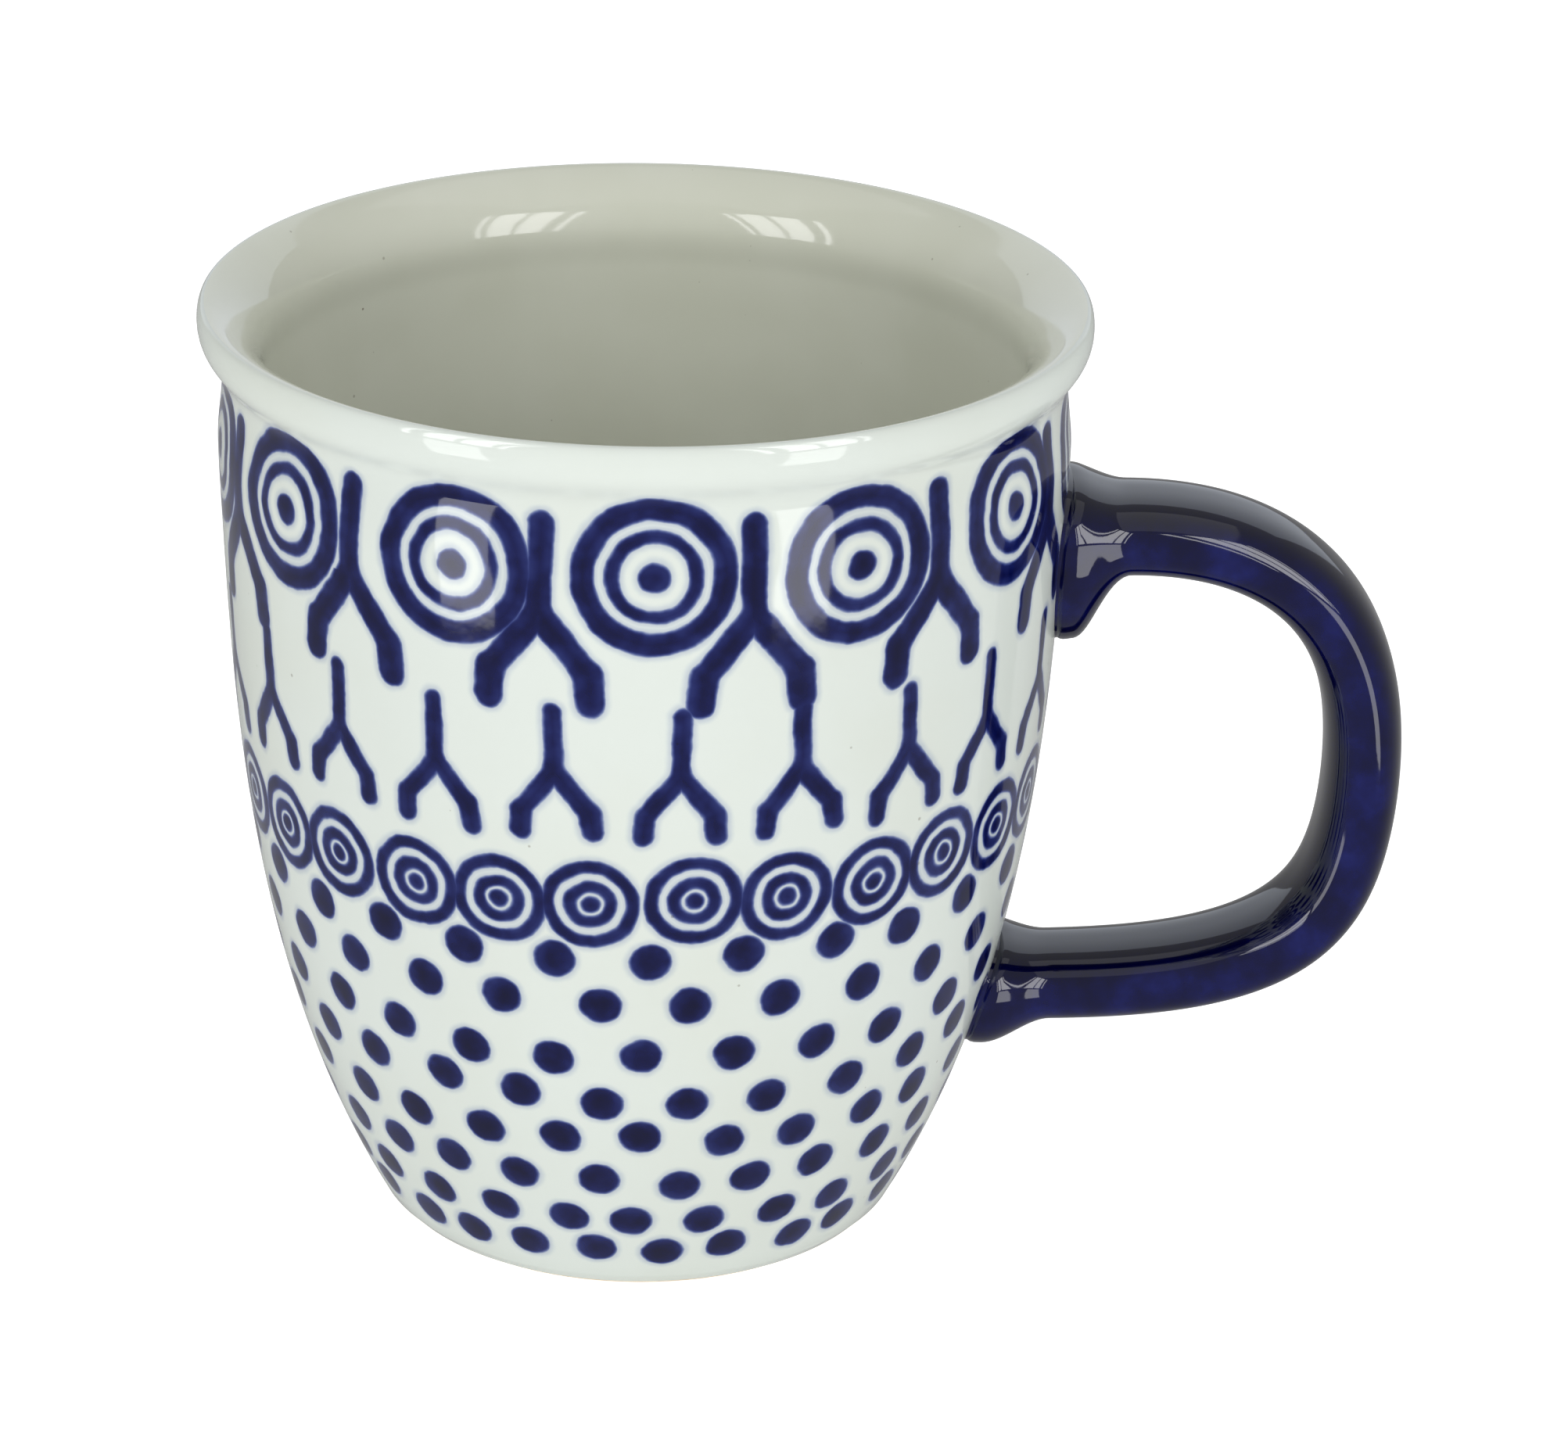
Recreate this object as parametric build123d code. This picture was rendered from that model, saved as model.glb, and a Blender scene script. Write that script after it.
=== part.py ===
from build123d import *
from math import cos, pi, sin
import os

# A stoneware mug: a cast clay body with a foot ring and a flared lip, a cast clay handle stuck on
# with slip, and the glaze coats over both. Millimetres. The mug's axis is Z, the table is z = 0
# and the handle points along +X. Outlines are drawn in the XZ plane and turned round the axis.

# Finished height, over the glaze. The clay stops one coat of glaze lower.
mug_height = 97.2

# Coats and joints
glaze = 0.3                     # thickness of every glaze coat
slip = 0.8                      # luting slip between the wall and the handle's ends

# Foot ring
foot_radius = 24.9              # outside of the ring, at its rounded edge
foot_width = 3.3
foot_edge = 0.4                 # small bevel on both edges of the ring
recess_depth = 2.0
recess_slope = 1.2              # how far the ring's inner side leans in up to the recess
bare_foot = 0.9                 # height below which the clay is wiped clean of glaze

# Body
heel_radius = 26.7
heel_height = 2.2
belly_radius = 42.3
belly_drop = 14.2               # belly, neck, lip: distances below the rim
wall_pull = [(1.07, 0.38), (0.90, 0.785), (1.0, 0.915)]  # shares of the way out and up, heel to belly
wall_thickness = 3.6
floor_thickness = 4.6
corner_radius = 11.0            # inside, between the floor and the wall

# Neck and lip
neck_pinch = 0.5                # how far the neck draws in from the belly
neck_drop = 7.7
lip_overhang = 1.9              # how far the lip reaches out past the belly
lip_drop = 1.8                  # the lip's widest line
lip_round = 0.55                # how full the lip's outer top is: 0 is a flat cut, 1 is square
crest_inset = 0.45              # from the lip's widest line in to its top
crest_run = 0.7                 # how far the top runs in before the inside of the lip falls away
slope_rise = 3.1                # how far up the inside of the lip its steep foot is felt
slope_lean = 0.276              # how much that foot leans in: across for each step down
throat_inset = 5.55             # where the slope meets the throat
throat_drop = 5.2
throat_round = 1.6
throat_length = 4.5             # the throat's curve, down to the plain inner wall

# Handle
upper_root_drop = 25.0          # below the rim
lower_root_height = 23.6
handle_bends = [(44.2, 1.20), (33.2, 0.276), (22.4, 0.56), (44.9, -0.027), (16.9, 0.004)]
# each bend: how far out past the belly, and how far up from the lower root to the upper as a share
root_depth = 3.2                # the handle's centre line starts this deep in the wall
handle_thickness = (3.75, 3.4)  # half of it, at the upper and at the lower root
handle_width = (7.5, 6.3)       # half of it
roundness = 2.5                 # exponent of the section: 2 is an oval, more is squarer
flare_length = 7.0              # run over which the ends swell towards the wall
upper_flare = (2.6, 6.6, 1.7)   # swell at the wall on the outside, the inside and each side
lower_flare = (2.6, 1.4, 2.0)

clay_rim = belly_radius + lip_overhang
clay_top = mug_height - glaze
floor_height = recess_depth + floor_thickness


def at(radius, height):
    """A point of an outline."""
    return Vector(radius, 0, height)


def outward(edge, share):
    """The direction out of the clay, on the right of an outline's direction of travel."""
    along = edge % share
    return Vector(along.Z, 0, -along.X)


def share_at(edge, height):
    """How far along a rising outline it reaches a height."""
    low, high = 0.0, 1.0
    for _ in range(40):
        middle = (low + high) / 2
        low, high = (middle, high) if (edge @ middle).Z < height else (low, middle)
    return low


def moved_out(edges, distance, steps=8):
    """A chain of edges moved out of the clay by a distance, meeting on the corners' mitres."""
    chain = []
    for edge, before, after in zip(edges, edges[:1] + edges[:-1], edges[1:] + edges[-1:]):
        ends = []
        for share, neighbour in ((0, before), (1, after)):
            here = outward(edge, share)
            there = here if neighbour is edge else outward(neighbour, 1 - share)
            mitre = (here + there).normalized()
            ends.append(edge @ share + mitre * (distance / mitre.dot(here)))
        between = [edge @ (i / steps) + outward(edge, i / steps) * distance for i in range(1, steps)]
        if edge.geom_type == GeomType.LINE:
            chain.append(Line(ends[0], ends[1]))
        else:
            chain.append(Spline(ends[0], *between, ends[1], tangents=(edge % 0, edge % 1)))
    return chain


def closed(*edges):
    """A face inside a closed chain of edges, turned round the mug's axis."""
    return revolve(Face(Wire(list(edges))), Axis.Z).solid()


def coat(edges):
    """One coat of glaze on a chain of clay edges."""
    skin = moved_out(edges, glaze)
    starts = Line(edges[0] @ 0, skin[0] @ 0)
    if (edges[-1] @ 1).X < 1e-6:
        ends = Line(edges[-1] @ 1, at(0, (skin[-1] @ 1).Z))
    else:
        ends = Line(edges[-1] @ 1, skin[-1] @ 1)
    return closed(*edges, ends, *skin, starts)


# Outlines of the clay, followed from under the foot, up the outside, over the lip and down inside

def underside():
    ring_inside = foot_radius - foot_width
    recess_radius = ring_inside - recess_slope
    bare_radius = ring_inside - recess_slope * bare_foot / recess_depth
    recess_edge = at(recess_radius, recess_depth)
    bare_line = at(bare_radius, bare_foot)
    edge_top = at(ring_inside, foot_edge)
    glazed = [Line(at(0, recess_depth), recess_edge), Line(recess_edge, bare_line)]
    inner_flat = at(ring_inside + foot_edge, 0)
    outer_flat = at(foot_radius - foot_edge, 0)
    edge_outside = at(foot_radius, foot_edge)
    bevel_share = (bare_foot - foot_edge) / (heel_height - foot_edge)
    bare_outside = edge_outside + (at(heel_radius, heel_height) - edge_outside) * bevel_share
    bare = [
        Line(bare_line, edge_top),
        Line(edge_top, inner_flat),
        Line(inner_flat, outer_flat),
        Line(outer_flat, edge_outside),
        Line(edge_outside, bare_outside),
    ]
    return glazed, bare


def outside():
    _, bare = underside()
    heel = at(heel_radius, heel_height)
    belly = at(belly_radius, mug_height - belly_drop)
    neck = at(belly_radius - neck_pinch, mug_height - neck_drop)
    lip = at(clay_rim, mug_height - lip_drop)
    crest = at(clay_rim - crest_inset, clay_top)
    reach = belly - heel
    pulls = [heel + at(reach.X * out, reach.Z * up) for out, up in wall_pull]
    neck_bend = (neck.Z - belly.Z) / 3
    lip_bend = (lip.Z - neck.Z) / 2
    return [
        Line(bare[-1] @ 1, heel),
        Bezier(heel, *pulls, belly),
        Bezier(belly, belly + at(0, neck_bend), neck - at(0, neck_bend), neck),
        Bezier(neck, neck + at(0, lip_bend), lip - at(0, lip_bend), lip),
        Bezier(
            lip,
            lip + at(0, lip_round * (crest.Z - lip.Z)),
            crest + at(lip_round * (lip.X - crest.X), 0),
            crest,
        ),
    ]


def inside(outer):
    crest = outer[-1] @ 1
    slope_foot = at(clay_rim - throat_inset, mug_height - throat_drop)
    slope = at(-slope_lean, -1).normalized()
    lip_inside = Bezier(
        crest,
        crest - at(crest_run, 0),
        slope_foot - slope * slope_rise,
        slope_foot,
    )

    wall = outer[1]
    throat_height = mug_height - throat_drop - throat_length
    lower = share_at(wall, floor_height + corner_radius)
    steps = 8
    shares = [1 + (lower - 1) * i / steps for i in range(steps + 1)]
    stations = [wall @ s - outward(wall, s) * wall_thickness for s in shares]
    plain = Spline(*stations, tangents=(-(wall % 1), -(wall % lower)))
    throat_foot = at(stations[0].X, throat_height)
    straight = Line(throat_foot, stations[0])
    throat = Bezier(
        slope_foot,
        slope_foot + slope * throat_round,
        throat_foot + at(0, throat_round),
        throat_foot,
    )

    lean = plain % 1
    drop = (plain @ 1).Z - floor_height
    corner_foot = at((plain @ 1).X - corner_radius, floor_height)
    corner = Bezier(
        plain @ 1,
        plain @ 1 + lean * (0.6 * drop),
        corner_foot + at(0.5 * corner_radius, 0),
        corner_foot,
    )
    floor = Line(corner_foot, at(0, floor_height))
    return [lip_inside, throat, straight, plain, corner, floor]


def filled(edges, distance):
    """The body's outside filled solid and swollen by a distance, to trim the handle against."""
    shell = moved_out(edges, distance) if distance else edges
    top = Line(shell[-1] @ 1, at(0, (shell[-1] @ 1).Z))
    bottom = Line(at(0, (shell[0] @ 0).Z), shell[0] @ 0)
    return closed(bottom, *shell, top, Line(top @ 1, bottom @ 0))


# Handle

def handle_line(wall):
    upper_height = mug_height - upper_root_drop
    upper = wall @ share_at(wall, upper_height) - at(root_depth, 0)
    lower = wall @ share_at(wall, lower_root_height) - at(root_depth, 0)
    rise = upper_height - lower_root_height
    bends = [at(belly_radius + out, lower_root_height + rise * up) for out, up in handle_bends]
    return Bezier(upper, *bends, lower)


def section(line, distance, growth):
    """A rounded section of the handle at a distance along its centre line."""
    share = min(max(distance / line.length, 0), 1)
    here = line.position_at(share * line.length, position_mode=PositionMode.LENGTH)
    along = line.tangent_at(share * line.length, position_mode=PositionMode.LENGTH)
    here += along * (distance - share * line.length)
    across = Vector(0, 1, 0)
    out = along.cross(across)
    thickness = handle_thickness[0] + (handle_thickness[1] - handle_thickness[0]) * share + growth
    width = handle_width[0] + (handle_width[1] - handle_width[0]) * share + growth
    outer, inner = thickness, thickness
    for from_wall, flare in (
        (distance - root_depth, upper_flare),
        (line.length - root_depth - distance, lower_flare),
    ):
        away = min(max(from_wall / flare_length, 0), 1)
        swell = 1 - away * away * (3 - 2 * away)
        outer += flare[0] * swell
        inner += flare[1] * swell
        width += flare[2] * swell
    points = []
    count = 20
    for i in range(count):
        c, s = cos(2 * pi * i / count), sin(2 * pi * i / count)
        reach = (abs(c) ** roundness + abs(s) ** roundness) ** (-1 / roundness)
        thick = outer if s > 0 else inner
        points.append(here + across * (c * reach * width) + out * (s * reach * thick))
    return Face(Wire(Spline(*points, periodic=True)))


def handle_shape(line, growth):
    """The handle as one bent bar, its ends sunk in the wall."""
    near_wall = [-root_depth] + [root_depth + flare_length * s for s in (0, 0.13, 0.29, 0.56)]
    first, last = root_depth + flare_length, line.length - root_depth - flare_length
    steps = 12
    even = [first + (last - first) * i / steps for i in range(steps + 1)]
    distances = near_wall + even + [line.length - d for d in reversed(near_wall)]
    return loft([section(line, d, growth) for d in distances]).solid()


# Solids

glazed_under, bare_foot_line = underside()
outer = outside()
inner = inside(outer)
axis_line = Line(inner[-1] @ 1, glazed_under[0] @ 0)
clay_body = closed(*glazed_under, *bare_foot_line, *outer, *inner, axis_line)
underside_glaze = coat(glazed_under)
liner_glaze = coat(inner)

centre_line = handle_line(outer[1])
bar = handle_shape(centre_line, 0)
glazed_bar = handle_shape(centre_line, glaze)
wall_core = filled(outer, 0)
slip_core = filled(outer, slip)
clay_handle = (bar - slip_core).solid()
joints = (bar & slip_core) - wall_core
lower_joint, upper_joint = joints.solids().sort_by(Axis.Z)
handle_glaze = (glazed_bar - bar - wall_core).solid()
outer_glaze = (coat(outer) - glazed_bar).solid()

nodes = {
    "clay_body": clay_body,
    "clay_handle": clay_handle,
    "upper_slip_joint": upper_joint,
    "lower_slip_joint": lower_joint,
    "liner_glaze": liner_glaze,
    "outer_glaze": outer_glaze,
    "underside_glaze": underside_glaze,
    "handle_glaze": handle_glaze,
}

os.makedirs("parts", exist_ok=True)
for name, solid in nodes.items():
    export_step(solid, f"parts/{name}.step")
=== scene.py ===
from math import cos, hypot, pi, radians, sin, tan

import bpy
from mathutils import Euler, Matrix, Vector


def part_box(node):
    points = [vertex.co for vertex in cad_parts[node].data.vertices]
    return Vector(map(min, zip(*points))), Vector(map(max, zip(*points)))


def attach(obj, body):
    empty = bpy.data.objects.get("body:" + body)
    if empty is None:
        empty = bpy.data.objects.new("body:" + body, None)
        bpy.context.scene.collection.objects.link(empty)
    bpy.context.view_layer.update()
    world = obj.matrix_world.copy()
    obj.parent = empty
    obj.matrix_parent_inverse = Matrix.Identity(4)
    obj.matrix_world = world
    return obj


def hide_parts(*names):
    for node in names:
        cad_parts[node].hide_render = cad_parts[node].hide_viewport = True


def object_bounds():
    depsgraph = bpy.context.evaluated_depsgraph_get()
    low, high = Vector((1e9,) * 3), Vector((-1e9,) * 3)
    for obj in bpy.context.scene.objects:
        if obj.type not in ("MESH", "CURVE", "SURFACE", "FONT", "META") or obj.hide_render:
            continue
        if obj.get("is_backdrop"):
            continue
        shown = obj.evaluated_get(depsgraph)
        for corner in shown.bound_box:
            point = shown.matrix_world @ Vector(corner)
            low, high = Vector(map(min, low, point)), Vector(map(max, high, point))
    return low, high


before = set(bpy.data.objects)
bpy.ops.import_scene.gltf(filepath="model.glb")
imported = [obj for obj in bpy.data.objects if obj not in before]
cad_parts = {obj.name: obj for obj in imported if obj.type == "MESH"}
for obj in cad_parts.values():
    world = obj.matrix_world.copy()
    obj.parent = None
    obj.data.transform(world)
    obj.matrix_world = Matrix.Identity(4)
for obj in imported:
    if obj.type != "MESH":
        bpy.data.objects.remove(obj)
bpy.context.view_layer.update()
mm = 0.001


# --- Clay ---------------------------------------------------------------------------------------
# The body and the handle: pale buff stoneware, slip-cast in plaster moulds and joined while
# leather-hard. Glaze hides all of it but the foot ring, which is wiped clean so that it doesn't
# stick to the kiln shelf.

clay_parts = ("clay_body", "clay_handle")
clay_pale = (0.66, 0.59, 0.48, 1)
clay_warm = (0.55, 0.46, 0.34, 1)
iron = (0.09, 0.055, 0.035, 1)
cloud_size = 7.0         # millimetres, as are all the sizes that follow
grain_size = 0.45
grain_depth = 0.04


def put(tree, kind, inputs=(), **settings):
    """Adds a node; each of its inputs is a plain value or another node's output."""
    made = tree.nodes.new(kind)
    for name, value in settings.items():
        setattr(made, name, value)
    for socket, value in dict(inputs).items():
        if isinstance(value, bpy.types.NodeSocket):
            tree.links.new(value, made.inputs[socket])
        else:
            made.inputs[socket].default_value = value
    return made


def calc(tree, operation, *values):
    """The answer of one Math node."""
    return put(tree, "ShaderNodeMath", enumerate(values), operation=operation).outputs[0]


def pair(tree, first, second):
    """Two numbers as one vector."""
    return put(tree, "ShaderNodeCombineXYZ", {0: first, 1: second}).outputs[0]


def blend(tree, share, first, second):
    """Two colours mixed."""
    inputs = {0: share, 6: first, 7: second}
    return put(tree, "ShaderNodeMix", inputs, data_type="RGBA").outputs[2]


def ramp(tree, value, low, high, to_low=0.0, to_high=1.0):
    """A number eased from one range to another."""
    inputs = {0: value, 1: low, 2: high, 3: to_low, 4: to_high}
    return put(tree, "ShaderNodeMapRange", inputs, interpolation_type="SMOOTHSTEP").outputs[0]


def cloud(tree, place, size, detail=2.0):
    """Soft noise whose lumps are about a given size."""
    inputs = {"Vector": place, "Scale": 1 / size, "Detail": detail}
    return put(tree, "ShaderNodeTexNoise", inputs)


def node_group(name, inputs, outputs):
    """A shader group with named inputs and outputs."""
    tree = bpy.data.node_groups.new(name, "ShaderNodeTree")
    for in_out, sockets in (("INPUT", inputs), ("OUTPUT", outputs)):
        for label, kind in sockets.items():
            tree.interface.new_socket(label, in_out=in_out, socket_type="NodeSocket" + kind)
    return tree, tree.nodes.new("NodeGroupInput").outputs, tree.nodes.new("NodeGroupOutput").inputs


def new_finish(name, **shader_values):
    """A material: its tree, its Principled shader and the surface's place in millimetres."""
    material = bpy.data.materials.new(name)
    material.use_nodes = True
    tree = material.node_tree
    shader = tree.nodes["Principled BSDF"]
    for label, value in shader_values.items():
        shader.inputs[label.replace("_", " ")].default_value = value
    metres = tree.nodes.new("ShaderNodeTexCoord").outputs["Object"]
    place = put(tree, "ShaderNodeVectorMath", {0: metres, 3: 1 / mm}, operation="SCALE").outputs[0]
    return material, tree, shader, place


def feed(tree, output, socket):
    tree.links.new(output, socket)


def build_iron_specks():
    """Specks of iron that melt out of the clay, each of its own size."""
    tree, given, result = node_group(
        "Iron specks",
        {"Place": "Vector", "Spacing": "Float", "Size": "Float"},
        {"Mask": "Float"},
    )
    scale = calc(tree, "DIVIDE", 1.0, given["Spacing"])
    cells = put(tree, "ShaderNodeTexVoronoi", {"Vector": given["Place"], "Scale": scale})
    away = calc(tree, "MULTIPLY", cells.outputs["Distance"], given["Spacing"])
    chance = put(tree, "ShaderNodeSeparateColor", {0: cells.outputs["Color"]}).outputs[0]
    reach = calc(tree, "MULTIPLY", given["Size"], calc(tree, "POWER", chance, 2.0))
    inside = calc(tree, "SUBTRACT", reach, away)
    feed(tree, ramp(tree, inside, -0.05, 0.06), result["Mask"])
    return tree


iron_specks = build_iron_specks()


def build_bare_stoneware():
    material, tree, shader, place = new_finish("bare_stoneware", Roughness=0.85)
    clouds = cloud(tree, place, cloud_size).outputs[0]
    grain = cloud(tree, place, grain_size, 4.0).outputs[0]
    shade = calc(tree, "MULTIPLY_ADD", grain, 0.5, calc(tree, "MULTIPLY", clouds, 0.6))
    colour = blend(tree, ramp(tree, shade, 0.3, 0.8), clay_warm, clay_pale)
    specks = put(
        tree,
        "ShaderNodeGroup",
        {"Place": place, "Spacing": 1.6, "Size": 0.3},
        node_tree=iron_specks,
    ).outputs[0]
    feed(tree, blend(tree, specks, colour, iron), shader.inputs["Base Color"])
    feed(tree, ramp(tree, grain, 0.3, 0.7, 0.72, 0.92), shader.inputs["Roughness"])
    bump = put(tree, "ShaderNodeBump", {"Height": grain, "Distance": grain_depth * mm})
    feed(tree, bump.outputs[0], shader.inputs["Normal"])
    return material


bare_stoneware = build_bare_stoneware()
for part in clay_parts:
    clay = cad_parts[part]
    clay.data.materials.clear()
    clay.data.materials.append(bare_stoneware)


# --- Outer glaze --------------------------------------------------------------------------------
# The coat on the outside, from the wiped line above the foot ring up to the crest of the lip: a
# clear glossy glaze dipped over the white body. Under it the decorator has stamped rows of blue
# cobalt stain with cut sponges: targets, forks and dots. The stain soaks in and bleeds a little.

glaze = 0.3
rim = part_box("outer_glaze")[1].x / mm - glaze
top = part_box("outer_glaze")[1].z / mm
belly = rim - 1.9
foot_edge = (24.9, 0.4)
heel = (26.7, 2.2)
wiped = 0.9              # height of the line that the glaze is wiped back to
wall_pull = ((1.07, 0.38), (0.90, 0.785), (1.0, 0.915))
belly_drop = 14.2
neck_pinch, neck_drop = 0.5, 7.7
lip_drop, lip_round = 1.8, 0.55
crest_inset = 0.45
divisions = 288          # steps round the mug
crease = radians(35)     # edges sharper than this aren't smoothed over
hair = 0.02              # a last short step, so that two coats meet with the same slope

speck_spacing, speck_size, speck_strength = 3.4, 0.2, 0.4
glaze_white = (0.50, 0.535, 0.50, 1)
glaze_cream = (0.485, 0.515, 0.47, 1)
stain_clear = (0.006, 0.010, 0.105)    # what full stain lets through
ripple_depth = 0.048
bleed, bite = 0.30, 0.30              # how far the stain fades outside and inside a stamp's edge
halo_reach, halo_strength = 0.9, 0.07  # a wider veil of stain that the glaze carries off

target_count, target_turn, target_level, target_size = 13, -0.178, 83.7, 7.9
target_rings = (0.725, 0.585, 0.435, 0.185)
fork_count, fork_turn, fork_level, fork_size = 13, 0.252, 79.7, 1.0
small_fork_count, small_fork_turn, small_fork_level, small_fork_size = 22, -0.201, 62.8, 0.71
small_target_count, small_target_turn = 27, -0.22
small_target_level, small_target_size = 49.1, 4.75
small_target_rings = (0.745, 0.535, 0.30, 0.185)
fork_stem, fork_knee, fork_end = (0, 9.0, 0), (4.75, -6.0, 0), (5.0, -8.9, 0)
fork_strokes = (1.2, 1.3, 1.4)          # half widths of stem, arms and feet
fork_softness = (0.7, 0.4)              # how far stain fills the corners at the top and at the knees
dot_count, dot_size = 27, 2.0
sponge_shakes = ((3.0, 0.55), (0.8, 0.16))    # size of the unevenness of a cut edge, and how far
dot_rows = (
    (42.7, 0.35), (37.2, -0.21), (31.4, 0.33), (26.2, -0.18),
    (21.0, 0.26), (15.5, -0.26), (10.2, 0.23), (6.0, -0.32),
)


def curve(points, steps):
    """Points along a Bezier outline, without its last one."""
    drawn = []
    for step in range(steps):
        row = [Vector(point) for point in points]
        while len(row) > 1:
            row = [a.lerp(b, step / steps) for a, b in zip(row, row[1:])]
        drawn.append(row[0])
    return drawn


def moved_out(outline, distance):
    """An outline of radius and height moved out of the clay, on the mitres of its corners."""
    moved = []
    for before, here, after in zip(outline[:1] + outline[:-1], outline, outline[1:] + outline[-1:]):
        sides = [
            Vector((b.y - a.y, a.x - b.x)).normalized()
            for a, b in ((before, here), (here, after))
            if a != b
        ]
        mitre = sum(sides, Vector((0, 0))).normalized()
        moved.append(here + mitre * (distance / mitre.dot(sides[0])))
    return moved


def wall_curve(steps):
    low, high = Vector(heel), Vector((belly, top - belly_drop))
    pulls = [low + Vector(((high.x - low.x) * out, (high.y - low.y) * up)) for out, up in wall_pull]
    return curve([low, *pulls, high], steps)


def outside_outline():
    """The clay's outside, from the wiped line up to the crest of the lip."""
    share = (wiped - foot_edge[1]) / (heel[1] - foot_edge[1])
    start = Vector(foot_edge).lerp(Vector(heel), share)
    neck = Vector((belly - neck_pinch, top - neck_drop))
    lip = Vector((rim, top - lip_drop))
    crest = Vector((rim - crest_inset, top - glaze))
    low = Vector((belly, top - belly_drop))
    neck_bend = Vector((0, (neck.y - low.y) / 3))
    lip_bend = Vector((0, (lip.y - neck.y) / 2))
    round_up = Vector((0, lip_round * (crest.y - lip.y)))
    round_in = Vector((lip_round * (lip.x - crest.x), 0))
    return [
        *curve([start, heel], 3),
        *wall_curve(72),
        *curve([low, low + neck_bend, neck - neck_bend, neck], 12),
        *curve([neck, neck + lip_bend, lip - lip_bend, lip], 14),
        *curve([lip, lip + round_up, crest + round_in, crest], 14),
        crest + Vector((hair, 0)),
        crest,
    ]


outside = outside_outline()
glazed_outside = moved_out(outside, glaze)


def wall_radius(height, outline=glazed_outside):
    """Radius of the wall at a height, below the lip."""
    for low, high in zip(outline, outline[1:]):
        if low.y <= height <= high.y:
            return low.x + (high.x - low.x) * (height - low.y) / (high.y - low.y)
    return outline[0].x


def build_lathe():
    """Turns an outline of points round the mug's axis, as a closed skin."""
    tree = bpy.data.node_groups.new("Potter's wheel", "GeometryNodeTree")
    for label, kind in (
        ("Outline", "Geometry"),
        ("Divisions", "Int"),
        ("Crease", "Float"),
        ("Weld", "Float"),
        ("Glaze", "Material"),
    ):
        tree.interface.new_socket(label, in_out="INPUT", socket_type="NodeSocket" + kind)
    tree.interface.new_socket("Coat", in_out="OUTPUT", socket_type="NodeSocketGeometry")
    given = tree.nodes.new("NodeGroupInput").outputs
    count = put(tree, "GeometryNodeAttributeDomainSize", {0: given["Outline"]}).outputs[0]
    sheet = put(
        tree,
        "GeometryNodeMeshGrid",
        {2: calc(tree, "ADD", given["Divisions"], 1.0), 3: count},
    ).outputs[0]
    index = tree.nodes.new("GeometryNodeInputIndex").outputs[0]
    along = calc(tree, "MODULO", index, count)
    turn = calc(tree, "FLOOR", calc(tree, "DIVIDE", calc(tree, "ADD", index, 0.5), count))
    point = put(
        tree,
        "GeometryNodeSampleIndex",
        {0: given["Outline"], 1: tree.nodes.new("GeometryNodeInputPosition").outputs[0], 2: along},
        data_type="FLOAT_VECTOR",
    ).outputs[0]
    share = calc(tree, "DIVIDE", turn, given["Divisions"])
    place = put(
        tree,
        "ShaderNodeVectorRotate",
        {"Vector": point, "Angle": calc(tree, "MULTIPLY", share, 2 * pi)},
        rotation_type="Z_AXIS",
    ).outputs[0]
    shaped = put(tree, "GeometryNodeSetPosition", {0: sheet, 2: place}).outputs[0]
    closed = put(
        tree, "GeometryNodeMergeByDistance", {0: shaped, "Distance": given["Weld"]}
    ).outputs[0]
    smooth = put(tree, "GeometryNodeSetShadeSmooth", {0: closed}, domain="FACE").outputs[0]
    angle = tree.nodes.new("GeometryNodeInputMeshEdgeAngle").outputs[0]
    sharp = calc(tree, "GREATER_THAN", angle, given["Crease"])
    creased = put(
        tree, "GeometryNodeSetShadeSmooth", {0: smooth, 1: sharp, 2: False}, domain="EDGE"
    ).outputs[0]
    real = put(tree, "GeometryNodeRealizeInstances", {0: creased}).outputs[0]
    painted = put(
        tree, "GeometryNodeSetMaterial", {0: real, "Material": given["Glaze"]}
    ).outputs[0]
    feed(tree, painted, tree.nodes.new("NodeGroupOutput").inputs[0])
    return tree


lathe = build_lathe()


def turned_coat(name, outline, material):
    """A coat of glaze on an outline of the clay, turned on the lathe."""
    loop = moved_out(outline, glaze) + outline[::-1]
    loop.append(loop[0])
    mesh = bpy.data.meshes.new(name + "_outline")
    mesh.from_pydata([(point.x * mm, 0, point.y * mm) for point in loop], [], [])
    blank = bpy.data.objects.new(name + "_outline", mesh)
    bpy.context.scene.collection.objects.link(blank)
    modifier = blank.modifiers.new("lathe", "NODES")
    modifier.node_group = lathe
    values = {"Divisions": divisions, "Crease": crease, "Weld": 1e-6, "Glaze": material}
    for item in lathe.interface.items_tree:
        if item.name in values:
            modifier[item.identifier] = values[item.name]
    finished = bpy.data.meshes.new_from_object(
        blank.evaluated_get(bpy.context.evaluated_depsgraph_get())
    )
    bpy.data.objects.remove(blank)
    finished.name = name
    piece = bpy.data.objects.new(name, finished)
    bpy.context.scene.collection.objects.link(piece)
    return piece


def build_glaze_ripple():
    """The gentle unevenness of a dipped glaze: broad waves and a fine orange peel."""
    tree, given, result = node_group("Glaze ripple", {"Place": "Vector"}, {"Height": "Float"})
    waves = cloud(tree, given["Place"], 11.0, 1.0).outputs[0]
    peel = cloud(tree, given["Place"], 1.3, 1.0).outputs[0]
    feed(tree, calc(tree, "MULTIPLY_ADD", peel, 0.07, waves), result["Height"])
    return tree


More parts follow.
